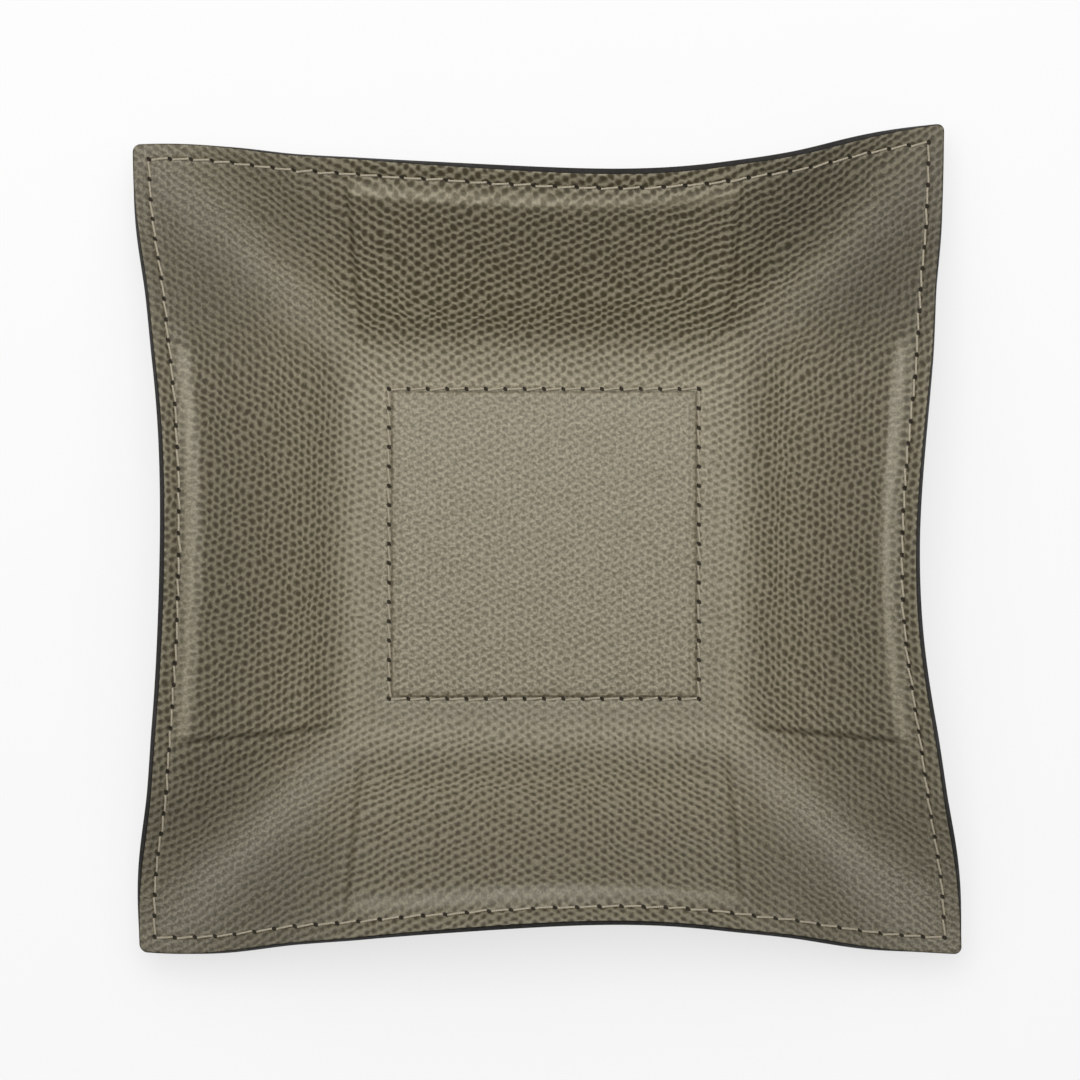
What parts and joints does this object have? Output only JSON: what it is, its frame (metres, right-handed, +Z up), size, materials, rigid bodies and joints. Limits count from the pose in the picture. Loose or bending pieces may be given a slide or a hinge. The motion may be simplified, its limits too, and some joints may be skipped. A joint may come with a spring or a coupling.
{
  "type": "valet tray",
  "caption": "Square grained-leather valet tray with soft flared corners, stiffened sloping walls, a stitched floor square and a painted cut edge.",
  "frame": {"origin": "middle of the underside, on the plane that the tray rests on", "axes": "+Z up out of the tray, X and Y square to the walls"},
  "size_m": [0.1622, 0.1622, 0.0266],
  "materials": {
    "grained_leather": "pebbled grain, semi-gloss",
    "backing_leather": "pebbled grain, semi-gloss",
    "stiffener_board": "grey millboard",
    "edge_paint": "satin edge paint",
    "thread": "bonded polyester thread"
  },
  "bodies": {
    "root": {"top_leather": "grained_leather", "bottom_leather": "backing_leather", "base_board": "stiffener_board", "wall_board_north": "stiffener_board", "wall_board_east": "stiffener_board", "wall_board_south": "stiffener_board", "wall_board_west": "stiffener_board", "edge_coat": "edge_paint", "rim_needle_thread": "thread", "rim_bobbin_thread": "thread", "base_needle_thread": "thread", "base_bobbin_thread": "thread"}
  },
  "joints": []
}
